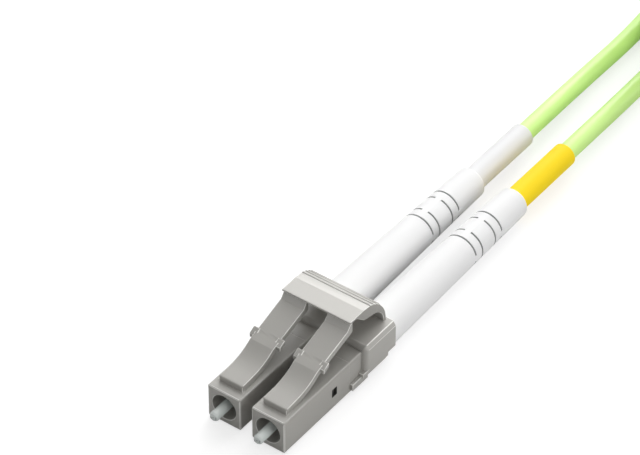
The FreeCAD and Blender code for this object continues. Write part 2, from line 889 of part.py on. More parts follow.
# ---------------------------------------------------------------- cords and the spare length
def cord_route(side):
    """Straight out of the marker sleeve, down to the floor and on to the hank."""
    x = S["pitch"] / 2 * side
    column = S["hank_x"] - S["hank_inner"] - (S["cord_dia"] if side < 0 else 0)
    hand = "left" if side < 0 else "right"
    route = [
        (x, S["jacket_start"], axis_height),
        (x, S["droop_start"], axis_height),
        (S[f"touch_{hand}_x"], S["touch_down"], cord_radius),
        (S[f"lay_{hand}_x"], S["lay_end"], cord_radius),
        (column, S["hank_y"], cord_radius + S["tie_thick"]),
    ]
    return [tuple(number(size) for size in point) for point in route]


def rounded_path(points):
    """Straight runs joined by arcs that take up a set share of the shorter run beside each."""
    spots = [FreeCAD.Vector(*point) for point in points]
    edges = []
    start = spots[0]
    radii = []
    for before, corner, after in zip(spots, spots[1:], spots[2:]):
        back, ahead = before - corner, after - corner
        bend = math.pi - back.getAngle(ahead)
        reach = number(S["bend_reach"]) * min(back.Length, ahead.Length)
        radii.append(reach / math.tan(bend / 2))
        first = corner + back.normalize() * reach
        last = corner + ahead.normalize() * reach
        toward = ((first + last) / 2 - corner).normalize()
        depth = math.hypot(radii[-1], reach) - radii[-1]
        edges.append(Part.LineSegment(start, first).toShape())
        edges.append(Part.Arc(first, corner + toward * depth, last).toShape())
        start = last
    edges.append(Part.LineSegment(start, spots[-1]).toShape())
    return Part.Wire(edges), radii


def make_cord(name, side):
    """Free length of one cord, from its jacket's start in the crimp to the hank."""
    points = cord_route(side)
    path, radii = rounded_path(points)
    radius = number(cord_radius)
    start = FreeCAD.Vector(*points[0])
    outward, across = FreeCAD.Vector(1, 0, 0), FreeCAD.Vector(0, 0, 1)
    section = ring_wire(start, outward, across, radius, CORD_FLATS)
    tube = path.makePipeShell([section], True, True)
    share = tube.Volume / (Part.Face(section).Area * path.Length)
    bends = [round(r, 1) for r in radii]
    print(name, "length", round(path.Length, 2), "radii", bends, "share", round(share, 4))
    return placed_feature(name, tube)


def racetrack(sketch, radius, label):
    """Two straight runs and two folds about the hank's middle line, each fold in equal steps."""
    points = []
    for middle_y, first in ((S["hank_y"], 180), (S["hank_y"] + S["hank_run"], 0)):
        for k in range(FOLD_STEPS + 1):
            angle = math.radians(first + 180 / FOLD_STEPS * k)
            points.append((S["hank_x"] + radius * math.cos(angle), middle_y + radius * math.sin(angle)))
    outline(sketch, points, label)


def make_hank(name, inner, layers):
    """Outer shape of one cord's turns: a racetrack column one diameter thick."""
    body = new_body(name, height=S["tie_thick"])
    plan = new_sketch(body, f"{name}_plan", "XY_Plane")
    racetrack(plan, inner + S["cord_dia"], "o")
    racetrack(plan, inner, "i")
    extrude(body, "Pad", f"{name}_turns", plan, S["cord_dia"] * layers)
    return body


def rounded_frame(sketch, x_half, z_low, z_high, radius, label):
    """A rectangle with round corners about the hank's middle line."""
    x0, x1 = S["hank_x"] - x_half, S["hank_x"] + x_half
    outline(
        sketch,
        [
            (x0 + radius, z_low),
            (x1 - radius, z_low, radius, 1),
            (x1, radius + z_low),
            (x1, z_high - radius, radius, 1),
            (x1 - radius, z_high),
            (x0 + radius, z_high, radius, 1),
            (x0, z_high - radius),
            (x0, radius + z_low, radius, 1),
        ],
        label,
    )


def make_tie(name):
    """Soft strap round the middle of the hank."""
    body = new_body(name, height=S["tie_thick"])
    start = S["hank_y"] + S["hank_run"] / 2 - S["tie_width"] / 2
    loop = new_sketch(body, f"{name}_section", "XZ_Plane", -start)
    inside = S["hank_inner"] + cord_radius + S["cord_dia"]
    height = S["cord_dia"] * S["layers_right"]
    thick = S["tie_thick"]
    small = S["tie_thick"] * 2
    rounded_frame(loop, inside + thick, -thick, height + thick, small + thick, "o")
    rounded_frame(loop, inside, 0.0, height, small, "i")
    extrude(body, "Pad", f"{name}_strap", loop, S["tie_width"], reverse=True)
    return body


# ---------------------------------------------------------------- build, check and write
MAKERS = {
    "housing": make_housing,
    "latch": make_latch,
    "ferrule": make_ferrule,
    "flange": make_flange,
    "inner_tube": make_inner_tube,
    "spring": make_spring,
    "rear_body": make_rear_body,
    "crimp_sleeve": make_crimp,
    "boot": make_boot,
    "marker_sleeve": make_marker,
    "buffered_fibre": make_buffer,
    "cord": make_cord,
}

subparts = [make(f"{kind}_{side}", sign) for kind, make in MAKERS.items() for side, sign in SIDES.items()]
subparts.append(make_clip("duplex_clip"))
subparts.append(make_trigger("trigger"))
subparts.append(make_hank("hank_left", S["hank_inner"] + cord_radius, S["layers_left"]))
subparts.append(make_hank("hank_right", S["hank_inner"] - cord_radius, S["layers_right"]))
subparts.append(make_tie("hank_tie"))
doc.recompute()

broken = [o.Name for o in doc.Objects if {"Invalid", "Error"} & set(o.State)]
if broken:
    raise SystemExit(f"failed objects: {broken}")
for part in subparts:
    if part.Shape.isNull() or not part.Shape.isValid() or not part.Shape.Solids:
        raise SystemExit(f"{part.Label} has no valid solid")

os.makedirs("parts", exist_ok=True)
for part in subparts:
    part.Shape.exportStep(f"parts/{part.Label}.step")
    box = part.Shape.optimalBoundingBox()
    print(
        f"{part.Label:22s} {part.Shape.Volume:9.3f} mm3, {len(part.Shape.Solids)} solid,"
        f" x {box.XMin:.2f}..{box.XMax:.2f}  y {box.YMin:.2f}..{box.YMax:.2f}"
        f"  z {box.ZMin:.2f}..{box.ZMax:.2f}"
    )
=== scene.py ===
import bmesh
import bpy
import json
import math
from mathutils import Matrix, Vector

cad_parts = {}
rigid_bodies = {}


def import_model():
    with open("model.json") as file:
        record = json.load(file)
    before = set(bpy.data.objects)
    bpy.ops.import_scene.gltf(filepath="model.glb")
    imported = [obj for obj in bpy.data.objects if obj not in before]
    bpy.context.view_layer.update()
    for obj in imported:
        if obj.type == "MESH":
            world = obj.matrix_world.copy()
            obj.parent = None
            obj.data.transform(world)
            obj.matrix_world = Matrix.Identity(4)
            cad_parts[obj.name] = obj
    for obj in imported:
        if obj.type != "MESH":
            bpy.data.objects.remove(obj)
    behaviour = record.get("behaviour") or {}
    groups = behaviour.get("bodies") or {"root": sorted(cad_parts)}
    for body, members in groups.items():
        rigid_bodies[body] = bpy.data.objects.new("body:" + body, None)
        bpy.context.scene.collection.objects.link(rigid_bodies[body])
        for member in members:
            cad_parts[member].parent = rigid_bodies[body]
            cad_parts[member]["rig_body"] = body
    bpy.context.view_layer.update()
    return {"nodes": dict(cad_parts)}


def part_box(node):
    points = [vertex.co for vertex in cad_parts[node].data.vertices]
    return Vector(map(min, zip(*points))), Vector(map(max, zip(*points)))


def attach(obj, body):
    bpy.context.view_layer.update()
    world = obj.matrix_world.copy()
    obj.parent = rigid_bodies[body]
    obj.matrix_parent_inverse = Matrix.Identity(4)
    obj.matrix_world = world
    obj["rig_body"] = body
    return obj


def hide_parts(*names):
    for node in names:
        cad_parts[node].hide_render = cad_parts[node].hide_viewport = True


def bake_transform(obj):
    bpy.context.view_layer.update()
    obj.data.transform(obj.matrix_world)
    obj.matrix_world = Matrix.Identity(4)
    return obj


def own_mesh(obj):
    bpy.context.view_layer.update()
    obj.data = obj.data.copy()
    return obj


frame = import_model()
mm = 0.001
sides = {"left": -1, "right": 1}
bodyOf = {name: node["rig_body"] for name, node in frame["nodes"].items()}
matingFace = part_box("housing_left")[0][1]  # y of the mating faces
axisHeight = (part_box("boot_left")[0][2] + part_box("boot_left")[1][2]) / 2
halfPitch = (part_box("ferrule_right")[0][0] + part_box("ferrule_right")[1][0]) / 2


# y of a station so many millimetres behind the mating faces
def behind(distance):
    return matingFace + distance * mm


# an object in the scene for a mesh, curve, lamp or camera
def addObject(name, data):
    made = bpy.data.objects.new(name, data)
    bpy.context.collection.objects.link(made)
    return made


# what an object looks like with its modifiers, as a plain mesh
def bakedMesh(piece):
    return bpy.data.meshes.new_from_object(piece.evaluated_get(bpy.context.evaluated_depsgraph_get()))


# a math node with the inputs that are fixed numbers
def addMath(nodes, operation, first=None, second=None, third=None):
    step = nodes.new("ShaderNodeMath")
    step.operation = operation
    for socket, value in zip(step.inputs, (first, second, third)):
        if value is not None:
            socket.default_value = value
    return step


# the floor: what it bounces onto the part, what the camera sees, and the light that whitens it for the camera
def buildStage():
    stage = {"halfSize": 3.0, "bounced": 0.72, "seen": 0.40, "whitened": 0.70, "roughness": 0.9}
    mesh = bpy.data.meshes.new("floor")
    half = stage["halfSize"]
    corners = [(-half, -half, 0), (half, -half, 0), (half, half, 0), (-half, half, 0)]
    mesh.from_pydata(corners, [], [(0, 1, 2, 3)])
    floor = addObject("floor", mesh)
    material = bpy.data.materials.new("paleFloor")
    material.use_nodes = True
    nodes, links = material.node_tree.nodes, material.node_tree.links
    shader = nodes["Principled BSDF"]
    path = nodes.new("ShaderNodeLightPath")
    tone = nodes.new("ShaderNodeMix")
    tone.data_type = "RGBA"
    tone.inputs["A"].default_value = (*[stage["bounced"]] * 3, 1)
    tone.inputs["B"].default_value = (*[stage["seen"]] * 3, 1)
    links.new(path.outputs["Is Camera Ray"], tone.inputs["Factor"])
    links.new(tone.outputs["Result"], shader.inputs["Base Color"])
    whiten = addMath(nodes, "MULTIPLY", second=stage["whitened"])
    links.new(path.outputs["Is Camera Ray"], whiten.inputs[0])
    links.new(whiten.outputs[0], shader.inputs["Emission Strength"])
    shader.inputs["Emission Color"].default_value = (1, 1, 1, 1)
    shader.inputs["Roughness"].default_value = stage["roughness"]
    shader.inputs["Specular IOR Level"].default_value = 0.0
    mesh.materials.append(material)


# a white world for the camera and for reflections, which gives the part itself only a weak fill
def buildWorld():
    sky = {"background": 1.0, "fill": 0.08}
    world = bpy.data.worlds.new("paleWorld")
    world.use_nodes = True
    nodes, links = world.node_tree.nodes, world.node_tree.links
    path = nodes.new("ShaderNodeLightPath")
    seen = addMath(nodes, "MAXIMUM")
    strength = nodes.new("ShaderNodeMapRange")
    strength.inputs["To Min"].default_value = sky["fill"]
    strength.inputs["To Max"].default_value = sky["background"]
    links.new(path.outputs["Is Camera Ray"], seen.inputs[0])
    links.new(path.outputs["Is Glossy Ray"], seen.inputs[1])
    links.new(seen.outputs[0], strength.inputs["Value"])
    links.new(strength.outputs["Result"], nodes["Background"].inputs["Strength"])
    nodes["Background"].inputs["Color"].default_value = (1, 1, 1, 1)
    bpy.context.scene.world = world


# five softboxes light the part, and two small ones only draw the glints along its edges
def buildLamps():
    lamps = {
        "backSoftbox": {"at": (-0.22, 0.42, 0.40), "size": 0.9, "power": 2.85},
        "lowBackSoftbox": {"at": (-0.10, 0.60, 0.22), "size": 0.6, "power": 4.7},
        "topSoftbox": {"at": (0.0, 0.05, 0.60), "size": 0.9, "power": 1.5},
        "rightSoftbox": {"at": (0.55, 0.05, 0.22), "size": 0.35, "power": 1.25},
        "frontSoftbox": {"at": (-0.12, -0.50, 0.30), "size": 0.5, "power": 0.55},
        "backGlint": {"at": (0.40, 0.36, 0.27), "size": 0.16, "power": 0.8, "glintOnly": True},
        "frontGlint": {"at": (-0.27, -0.40, 0.36), "size": 0.16, "power": 0.5, "glintOnly": True},
    }
    aimStation = 20  # millimetres behind the mating faces, where all of them point
    for name, lamp in lamps.items():
        light = bpy.data.lights.new(name, "AREA")
        light.shape = "SQUARE"
        light.size = lamp["size"]
        light.energy = lamp["power"]
        holder = addObject(name, light)
        holder.location = lamp["at"]
        aim = Vector((0, behind(aimStation), 0)) - Vector(lamp["at"])
        holder.rotation_euler = aim.to_track_quat("-Z", "Y").to_euler()
        holder.visible_diffuse = not lamp.get("glintOnly", False)


# angles in degrees, the distance and the aim on the floor in millimetres, and the clip range in metres
def buildCamera():
    shot = {
        "azimuth": 36.569, "elevation": 41.251, "distance": 451.6, "aim": (-14.67, 33.86), "lens": 209.9,
        "sensor": 36.0, "nearest": 0.01, "farthest": 20.0,
    }
    camera = bpy.data.cameras.new("camera")
    camera.lens = shot["lens"]
    camera.sensor_width = shot["sensor"]
    camera.clip_start = shot["nearest"]
    camera.clip_end = shot["farthest"]
    holder = addObject("camera", camera)
    turn, lift = math.radians(shot["azimuth"]), math.radians(shot["elevation"])
    away = Vector((math.sin(turn) * math.cos(lift), -math.cos(turn) * math.cos(lift), math.sin(lift)))
    aim = Vector((shot["aim"][0] * mm, behind(shot["aim"][1]), 0))
    holder.location = aim + away * shot["distance"] * mm
    holder.rotation_euler = (math.pi / 2 - lift, 0, turn)
    bpy.context.scene.camera = holder
    bpy.context.scene.view_settings.view_transform = "Standard"


buildStage()
buildWorld()
buildLamps()
buildCamera()
print("stage, lamps and camera ready")


# a screen colour, 0 to 255, as the linear colour that sockets take
def screenColour(red, green, blue):
    shares = [channel / 255 for channel in (red, green, blue)]
    return [s / 12.92 if s <= 0.04045 else ((s + 0.055) / 1.055) ** 2.4 for s in shares]


# a shader group that takes a tone and some numbers, and gives a colour and some numbers
def startShading(name, numbers, results):
    group = bpy.data.node_groups.new(name, "ShaderNodeTree")
    sockets = group.interface
    sockets.new_socket("Tone", in_out="INPUT", socket_type="NodeSocketColor")
    for label, value in numbers.items():
        sockets.new_socket(label, in_out="INPUT", socket_type="NodeSocketFloat").default_value = value
    sockets.new_socket("Colour", in_out="OUTPUT", socket_type="NodeSocketColor")
    for label in results:
        sockets.new_socket(label, in_out="OUTPUT", socket_type="NodeSocketFloat")
    return group, group.nodes.new("NodeGroupInput"), group.nodes.new("NodeGroupOutput")


# a group's colour: the tone that it is given, made lighter or darker by an amount round 1
def shadeTone(group, given, amount, made):
    shaded = group.nodes.new("ShaderNodeVectorMath")
    shaded.operation = "SCALE"
    group.links.new(given.outputs["Tone"], shaded.inputs[0])
    group.links.new(amount, shaded.inputs["Scale"])
    group.links.new(shaded.outputs[0], made.inputs["Colour"])


# a group for slight tone changes and a fine skin, as moulded plastic has
def makeMouldedSkin():
    numbers = {"Drift": 0.04, "Drift Scale": 90.0, "Grain Scale": 5000.0, "Roughness": 0.4}
    group, given, made = startShading("mouldedSkin", numbers, ("Roughness", "Height"))
    nodes, links = group.nodes, group.links
    place = nodes.new("ShaderNodeTexCoord")
    slow, fine = nodes.new("ShaderNodeTexNoise"), nodes.new("ShaderNodeTexNoise")
    for noise, scale in ((slow, "Drift Scale"), (fine, "Grain Scale")):
        links.new(place.outputs["Object"], noise.inputs["Vector"])
        links.new(given.outputs[scale], noise.inputs["Scale"])
    centred = addMath(nodes, "SUBTRACT", second=0.5)
    links.new(slow.outputs["Fac"], centred.inputs[0])
    swing = addMath(nodes, "MULTIPLY_ADD", third=1.0)
    links.new(centred.outputs[0], swing.inputs[0])
    links.new(given.outputs["Drift"], swing.inputs[1])
    shadeTone(group, given, swing.outputs[0], made)
    rough = addMath(nodes, "MULTIPLY")
    links.new(given.outputs["Roughness"], rough.inputs[0])
    links.new(swing.outputs[0], rough.inputs[1])
    links.new(rough.outputs[0], made.inputs["Roughness"])
    links.new(fine.outputs["Fac"], made.inputs["Height"])
    return group


# a group for bands across the mating axis: turning marks on metal, warp threads in the tie
def makeBands():
    numbers = {"Height": 0.5, "Pitch": 0.1 * mm, "Contrast": 0.1}
    waver = 0.4  # how far the bands are from straight
    group, given, made = startShading("bands", numbers, ("Height",))
    nodes, links = group.nodes, group.links
    place = nodes.new("ShaderNodeTexCoord")
    wave = nodes.new("ShaderNodeTexWave")
    wave.bands_direction = "Y"
    wave.inputs["Distortion"].default_value = waver
    links.new(place.outputs["Object"], wave.inputs["Vector"])
    scale = addMath(nodes, "DIVIDE", first=math.pi / 10)  # a wave texture of scale 1 repeats at this length
    links.new(given.outputs["Pitch"], scale.inputs[1])
    links.new(scale.outputs[0], wave.inputs["Scale"])
    darkest = addMath(nodes, "SUBTRACT", first=1.0)
    links.new(given.outputs["Contrast"], darkest.inputs[1])
    shade = nodes.new("ShaderNodeMapRange")
    shade.inputs["To Max"].default_value = 1.0
    links.new(wave.outputs["Fac"], shade.inputs["Value"])
    links.new(darkest.outputs[0], shade.inputs["To Min"])
    shadeTone(group, given, shade.outputs["Result"], made)
    raised = addMath(nodes, "MULTIPLY")
    links.new(given.outputs["Height"], raised.inputs[0])
    links.new(shade.outputs["Result"], raised.inputs[1])
    links.new(raised.outputs[0], made.inputs["Height"])
    return group


mouldedSkin = makeMouldedSkin()
bands = makeBands()
plainLook = {"drift": 0.04, "grain": 0.05, "metallic": 0.0, "specular": 0.5, "glow": 0.0, "coat": 0.0}
depths = {"grain": 0.02, "glow": 0.3}  # of the skin's bumps and of the light under it, in millimetres
coatRoughness = 0.2


# one material: the moulded skin, with bands where its look has a pitch, feeding a Principled shader
def makeFinish(name, given):
    look = {**plainLook, **given}
    material = bpy.data.materials.new(name)
    material.use_nodes = True
    nodes, links = material.node_tree.nodes, material.node_tree.links
    shader = nodes["Principled BSDF"]
    skin = nodes.new("ShaderNodeGroup")
    skin.node_tree = mouldedSkin
    skin.inputs["Tone"].default_value = (*screenColour(*look["tone"]), 1)
    skin.inputs["Drift"].default_value = look["drift"]
    skin.inputs["Roughness"].default_value = look["roughness"]
    colour, height = skin.outputs["Colour"], skin.outputs["Height"]
    if "pitch" in look:
        banded = nodes.new("ShaderNodeGroup")
        banded.node_tree = bands
        banded.inputs["Pitch"].default_value = look["pitch"] * mm
        banded.inputs["Contrast"].default_value = look["contrast"]
        links.new(colour, banded.inputs["Tone"])
        links.new(height, banded.inputs["Height"])
        colour, height = banded.outputs["Colour"], banded.outputs["Height"]
    links.new(colour, shader.inputs["Base Color"])
    links.new(skin.outputs["Roughness"], shader.inputs["Roughness"])
    bump = nodes.new("ShaderNodeBump")
    bump.inputs["Strength"].default_value = look["grain"]
    bump.inputs["Distance"].default_value = depths["grain"] * mm
    links.new(height, bump.inputs["Height"])
    links.new(bump.outputs["Normal"], shader.inputs["Normal"])
    shader.inputs["Metallic"].default_value = look["metallic"]
    shader.inputs["Specular IOR Level"].default_value = look["specular"]
    shader.inputs["Subsurface Weight"].default_value = look["glow"]
    shader.inputs["Subsurface Scale"].default_value = depths["glow"] * mm
    shader.inputs["Subsurface Radius"].default_value = (1, 1, 1)
    shader.inputs["Coat Weight"].default_value = look["coat"]
    shader.inputs["Coat Roughness"].default_value = coatRoughness
    return material


# tones are screen colours, and the pitch of bands is in millimetres
looks = {
    "greyPlastic": {"tone": (164, 162, 157), "roughness": 0.42, "drift": 0.03, "grain": 0.08},
    "greyClip": {"tone": (169, 167, 162), "roughness": 0.38, "drift": 0.03, "grain": 0.06},
    # a lighter grey for the trigger than for the housing: painted light on its top
    "greyLitTrigger": {"tone": (187, 185, 180), "roughness": 0.38, "drift": 0.03, "grain": 0.06},
    # a darker grey for the trigger's ridged back and flanks: painted shade
    "greyPaintedTriggerShade": {"tone": (150, 148, 143), "roughness": 0.45, "drift": 0.03, "grain": 0.08},
    # a light grey for the rounded edges: a painted highlight along them
    "greyEdgeHighlight": {"tone": (228, 227, 223), "roughness": 0.3, "drift": 0.02, "grain": 0.03},
    # a near-black grey for the snap windows' walls and the plugs seen through them: painted shade
    "greyPaintedShade": {"tone": (70, 69, 66), "roughness": 0.6, "drift": 0.03, "specular": 0.2},
    "zirconia": {"tone": (207, 213, 210), "roughness": 0.22, "drift": 0.01, "grain": 0.0, "coat": 0.2},
    "glassCore": {"tone": (60, 66, 70), "roughness": 0.1, "drift": 0.0, "grain": 0.0},
    "flangeMetal": {
        "tone": (205, 200, 188), "roughness": 0.28, "metallic": 1.0, "pitch": 0.12, "contrast": 0.12,
    },
    "tubeSteel": {
        "tone": (200, 200, 200), "roughness": 0.3, "metallic": 1.0, "pitch": 0.3, "contrast": 0.05,
    },
    "crimpMetal": {
        "tone": (205, 203, 198), "roughness": 0.35, "metallic": 1.0, "pitch": 0.5, "contrast": 0.15,
    },
    "springSteel": {"tone": (190, 190, 192), "roughness": 0.25, "metallic": 1.0},
    "whiteBoot": {"tone": (233, 233, 233), "roughness": 0.5, "drift": 0.01, "specular": 0.3},
    "slotShade": {"tone": (205, 205, 205), "roughness": 0.7, "drift": 0.02, "grain": 0.03, "specular": 0.2},
    "whiteSleeve": {"tone": (227, 227, 228), "roughness": 0.4, "drift": 0.02, "grain": 0.03, "specular": 0.3},
    "yellowSleeve": {
        "tone": (252, 219, 16), "roughness": 0.5, "drift": 0.02, "grain": 0.03, "specular": 0.15,
    },
    "fibreBuffer": {"tone": (225, 235, 235), "roughness": 0.3, "glow": 0.1},
    "limeJacket": {"tone": (206, 245, 143), "roughness": 0.4, "drift": 0.03, "grain": 0.06, "glow": 0.1},
    "aramidYarn": {"tone": (232, 208, 118), "roughness": 0.6, "drift": 0.2, "grain": 0.2},
    "tieFabric": {
        "tone": (34, 34, 36), "roughness": 0.85, "drift": 0.3, "grain": 0.5, "specular": 0.2, "pitch": 0.45,
        "contrast": 0.5,
    },
}
finishes = {name: makeFinish(name, look) for name, look in looks.items()}

nodeFinishes = {
    "housing": "greyPlastic", "latch": "greyPlastic", "rear_body": "greyPlastic", "ferrule": "zirconia",
    "flange": "flangeMetal", "inner_tube": "tubeSteel", "spring": "springSteel", "crimp_sleeve": "crimpMetal",
    "boot": "whiteBoot", "buffered_fibre": "fibreBuffer", "cord": "limeJacket", "hank": "limeJacket",
    "duplex_clip": "greyClip", "trigger": "greyLitTrigger", "hank_tie": "tieFabric",
    "marker_sleeve_left": "whiteSleeve", "marker_sleeve_right": "yellowSleeve",
}
for nodeName, node in frame["nodes"].items():
    kind = nodeName if nodeName in nodeFinishes else nodeName.rsplit("_", 1)[0]
    for holder in node.material_slots:
        holder.material = finishes[nodeFinishes[kind]]
print("finishes made")


# moulded and turned pieces: the width of their rounded edges and the shortest edge that is rounded, in
# millimetres, and the angles in degrees from which an edge is rounded and from which it is a crease; a
# painted highlight, a lighter grey, lies on the rounded edges, and painted shade on the faces that the shade
# tests pick
softened = {
    "housing": {
        "edge": 0.06, "steps": 2, "rounded": 38, "shortest": 0.2, "crease": 30, "edgeHighlight": "greyEdgeHighlight",
        "shade": "greyPaintedShade",
    },
    "latch": {
        "edge": 0.07, "steps": 2, "rounded": 45, "shortest": 0.12, "crease": 12, "edgeHighlight": "greyEdgeHighlight",
    },
    "rear_body": {
        "edge": 0.04, "steps": 2, "rounded": 38, "shortest": 0.5, "crease": 30, "shade": "greyPaintedShade",
    },
    "duplex_clip": {
        "edge": 0.07, "steps": 2, "rounded": 30, "shortest": 0.3, "crease": 25, "edgeHighlight": "greyEdgeHighlight",
    },
    "trigger": {
        "edge": 0.06, "steps": 2, "rounded": 50, "shortest": 0.2, "crease": 8, "edgeHighlight": "greyEdgeHighlight",
        "shade": "greyPaintedTriggerShade", "ridged": True,
    },
    "boot": {"edge": 0.04, "steps": 2, "rounded": 38, "shortest": 0.05, "crease": 30, "shade": "slotShade"},
    "marker_sleeve": {"edge": 0.09, "steps": 3, "rounded": 38, "shortest": 0.05, "crease": 30},
    "ferrule": {"edge": 0.05, "steps": 3, "rounded": 20, "shortest": 0.05, "crease": 20},
}
joinWithin = 0.001  # corners of loose triangles this close, in millimetres, are one
plugEnd = 12.4  # the rear bodies' plugs lie ahead of this station
# the stations of the snap windows and the boots' slots, and distances from the channel's axis
window = {"from": 9.04, "to": 10.01, "halfHeight": 0.61, "inner": 1.62, "outer": 2.305}
bootSlots = {"from": 37.6, "to": 44.6, "wall": 1.7, "skin": 0.06, "tailRadius": 2.03}
bootFront, bootBack = (corner[1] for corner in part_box("boot_left"))
# the trigger's ridges: their stations, least height and least length, and a flank's least sideways normal
grip = {"from": 16.9, "to": 19.2, "above": 6.4, "across": 1.0, "flank": 0.9}


# whether a spot lies in a slot of a boot: between the wall round its bore and its outer skin
def inBootSlot(spot, normal):
    if not behind(bootSlots["from"]) < spot.y < behind(bootSlots["to"]):
        return False
    along = (spot.y - bootFront) / (bootBack - bootFront)
    outer = axisHeight + (bootSlots["tailRadius"] * mm - axisHeight) * along
    reach = math.hypot(abs(spot.x) - halfPitch, spot.z - axisHeight)
    return bootSlots["wall"] * mm < reach < outer - bootSlots["skin"] * mm


# whether a spot lies on the walls of a snap window in a housing's side, which get painted shade
def inWindow(spot, normal):
    aside = abs(abs(spot.x) - halfPitch)
    level = abs(spot.z - axisHeight) < window["halfHeight"] * mm
    reach = window["inner"] * mm < aside < window["outer"] * mm
    return level and reach and behind(window["from"]) < spot.y < behind(window["to"])


# whether a spot lies on a rear body's plug, which gets painted shade, as it is seen only inside the window
def inPlug(spot, normal):
    return spot.y < behind(plugEnd)


# the ridged back of the trigger's arch and its flanks, which get a darker grey than its top: painted shade
def onShadedTrigger(spot, normal):
    ridged = spot.y > behind(grip["from"]) and spot.z - axisHeight > grip["above"] * mm
    return ridged or abs(normal.x) > grip["flank"]


# these tests take the middle of a face and its normal, and pick the faces that get painted shade
paintedShadeTests = {"housing": inWindow, "boot": inBootSlot, "rear_body": inPlug, "trigger": onShadedTrigger}


# whether an edge is one of the ridge lines across the trigger's arch
def onGrip(edge):
    first, last = (vert.co for vert in edge.verts)
    middle = (first + last) / 2
    level = middle.z - axisHeight > grip["above"] * mm
    across = abs(first.x - last.x) > grip["across"] * mm
    return across and level and behind(grip["from"]) < middle.y < behind(grip["to"])


# marks a mesh's faces of painted shade, its creases and the edges to round, which stay clear of shaded faces
# and ridges
def markShape(shape, soft, shadeTest):
    for face in shape.faces:
        # faces that the test picks take the second finish: painted shade
        face.material_index = 1 if shadeTest and shadeTest(face.calc_center_median(), face.normal) else 0
        face.smooth = True
    weight = shape.edges.layers.float.new("bevel_weight_edge")
    ridged = soft.get("ridged", False)
    for edge in shape.edges:
        ridge = ridged and onGrip(edge)
        walled = not ridged and any(face.material_index for face in edge.link_faces)
        free = edge.is_manifold and not ridge and not walled
        outer = free and edge.calc_face_angle_signed() > math.radians(soft["rounded"])
        edge[weight] = 1.0 if outer and edge.calc_length() > soft["shortest"] * mm else 0.0
        edge.smooth = ridge or edge.calc_face_angle(0) < math.radians(soft["crease"])


# a piece for the mesh, with its loose triangles joined and its edges rounded, as a moulding has them
def softenEdges(name, mesh, finish, soft, shadeTest=None):
    shape = bmesh.new()
    shape.from_mesh(mesh)
    bmesh.ops.remove_doubles(shape, verts=shape.verts, dist=joinWithin * mm)
    markShape(shape, soft, shadeTest)
    joined = bpy.data.meshes.new(name + "Joined")
    shape.to_mesh(joined)
    shape.free()
    joined.materials.append(finish)
    # the second finish is the painted shade for the faces that the shade test picks
    if shadeTest:
        joined.materials.append(finishes[soft["shade"]])
    # the rounded edges are real, and their light grey is a painted highlight
    if "edgeHighlight" in soft:
        joined.materials.append(finishes[soft["edgeHighlight"]])
    piece = addObject(name + "Moulded", joined)
    rounding = piece.modifiers.new("edges", "BEVEL")
    rounding.width = soft["edge"] * mm
    rounding.segments = soft["steps"]
    rounding.limit_method = "WEIGHT"
    rounding.material = len(joined.materials) - 1 if "edgeHighlight" in soft else -1
    rounding.use_clamp_overlap = False
    evened = piece.modifiers.new("normals", "WEIGHTED_NORMAL")
    evened.keep_sharp = True
    smooth = bakedMesh(piece)
    piece.modifiers.clear()
    piece.data = smooth
    return piece


for kind, soft in softened.items():
    names = [kind] if kind in frame["nodes"] else [f"{kind}_{side}" for side in sides]
    for nodeName in names:
        node = frame["nodes"][nodeName]
        piece = softenEdges(nodeName, node.data, node.material_slots[0].material, soft, paintedShadeTests.get(kind))
        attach(piece, bodyOf[nodeName])
        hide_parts(nodeName)
print("moulded pieces softened")

# the skin over each latch's root: stations of its top and underside, and their heights above the axis
latchRoot = {
    "halfWidth": 1.66, "bendFrom": 3.0, "bendTo": 4.2,
    "top": [
        (1.53, 3.138), (2.2, 3.186), (2.9, 3.236), (3.55, 3.283),
        (4.09, 3.356), (4.623, 3.466), (4.75, 3.501),
    ],
    "under": [
        (1.53, 2.36), (2.2, 2.36), (2.9, 2.36), (3.55, 2.42),
        (4.057, 2.477), (4.558, 2.565), (4.75, 2.61),
    ],
}


# the skin over one latch's root, drawn through the stations of its top and underside
def buildLatchRoot(side, sign):
    spots, faces = [], []
    for top, under in zip(latchRoot["top"], latchRoot["under"]):
        for station, height in (top, under):
            for edge in (-1, 1):
                x = halfPitch * sign + latchRoot["halfWidth"] * mm * edge
                spots.append((x, behind(station), axisHeight + height * mm))
    for i in range(0, len(spots) - 4, 4):  # the top and both sides, from one station to the next
        faces += [(i, i + 1, i + 5, i + 4), (i + 1, i + 3, i + 7, i + 5), (i, i + 4, i + 6, i + 2)]
    mesh = bpy.data.meshes.new(f"latchRoot_{side}")
    mesh.from_pydata(spots, [], faces)
    piece = softenEdges(f"latchRoot_{side}", mesh, finishes["greyPlastic"], softened["latch"])
    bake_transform(piece)


for side, sign in sides.items():
    buildLatchRoot(side, sign)
print("latch roots covered")

fibreCore = {"radius": 0.0625, "proud": 0.004, "sides": 16}


# the polished end of the glass fibre in a ferrule's tip
def buildFibreCore(side, sign):
    shape = bmesh.new()
    radius = fibreCore["radius"] * mm
    bmesh.ops.create_circle(shape, cap_ends=True, segments=fibreCore["sides"], radius=radius)
    bmesh.ops.rotate(shape, verts=shape.verts, matrix=Matrix.Rotation(math.pi / 2, 3, "X"))
    tip = Vector((halfPitch * sign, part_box(f"ferrule_{side}")[0][1] - fibreCore["proud"] * mm, axisHeight))
    bmesh.ops.translate(shape, verts=shape.verts, vec=tip)
    mesh = bpy.data.meshes.new(f"fibreCore_{side}")
    shape.to_mesh(mesh)
    shape.free()
    mesh.materials.append(finishes["glassCore"])
    core = addObject(f"fibreCore_{side}", mesh)
    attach(core, f"ferrule_assembly_{side}")


for side, sign in sides.items():
    buildFibreCore(side, sign)
print("fibre ends set")


